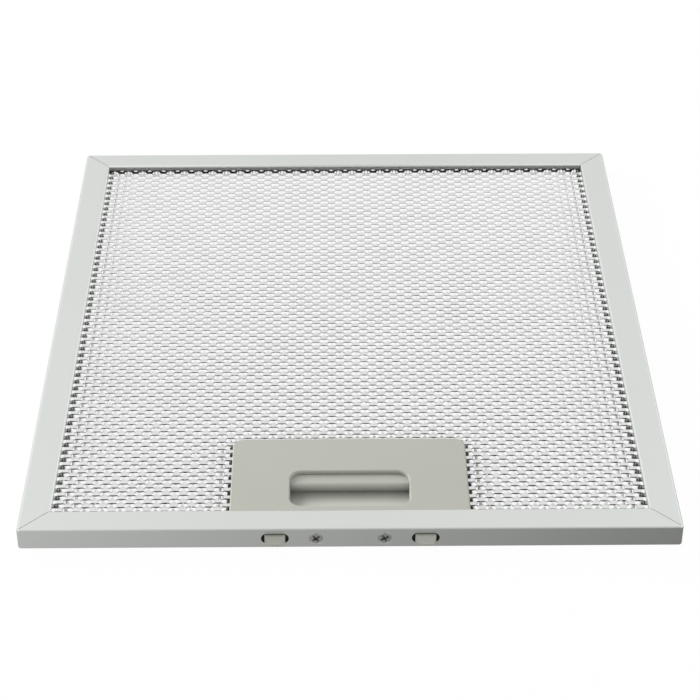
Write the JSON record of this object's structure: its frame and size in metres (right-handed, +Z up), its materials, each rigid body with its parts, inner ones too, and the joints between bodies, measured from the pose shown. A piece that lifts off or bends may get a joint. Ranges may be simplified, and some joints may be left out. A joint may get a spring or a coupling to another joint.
{
  "type": "cooker hood grease filter",
  "caption": "Flat rectangular cooker hood grease filter: folded aluminium frame around expanded metal mesh, with a recessed finger handle that draws in sprung latch tongues.",
  "frame": {"origin": "centre of the bounding box's underside, tongues included, so the frame's own centre lies half a tongue's reach behind it", "axes": "+X to the right seen from the latch edge, +Y back from the latch edge along the length, +Z up through the face with the finger pocket"},
  "size_m": [0.2676, 0.31, 0.0098],
  "materials": {
    "frame_aluminium": "satin rolled sheet",
    "guard_aluminium": "bright expanded sheet",
    "foil_aluminium": "thin expanded foil",
    "handle_plastic": "fine matt moulding",
    "latch_plastic": "fine matt moulding",
    "spring_steel": "drawn wire",
    "screw_steel": "plated"
  },
  "bodies": {
    "filter": {"frame": "frame_aluminium", "upper_guard_mesh": "guard_aluminium", "filter_layer_1": "foil_aluminium", "filter_layer_2": "foil_aluminium", "filter_layer_3": "foil_aluminium", "filter_layer_4": "foil_aluminium", "lower_guard_mesh": "guard_aluminium", "handle_plate": "handle_plastic", "handle_base": "handle_plastic", "left_return_spring": "spring_steel", "right_return_spring": "spring_steel", "handle_screws": "screw_steel"},
    "latch": {"latch_slider": "latch_plastic"}
  },
  "joints": [
    {"name": "latch_slide", "type": "slide", "parent": "filter", "child": "latch", "axis": [0, 1, 0], "range_m": [0, 0.005], "stiffness_N_per_m": 400, "springref_m": -0.003, "deforming": ["left_return_spring", "right_return_spring"]}
  ]
}
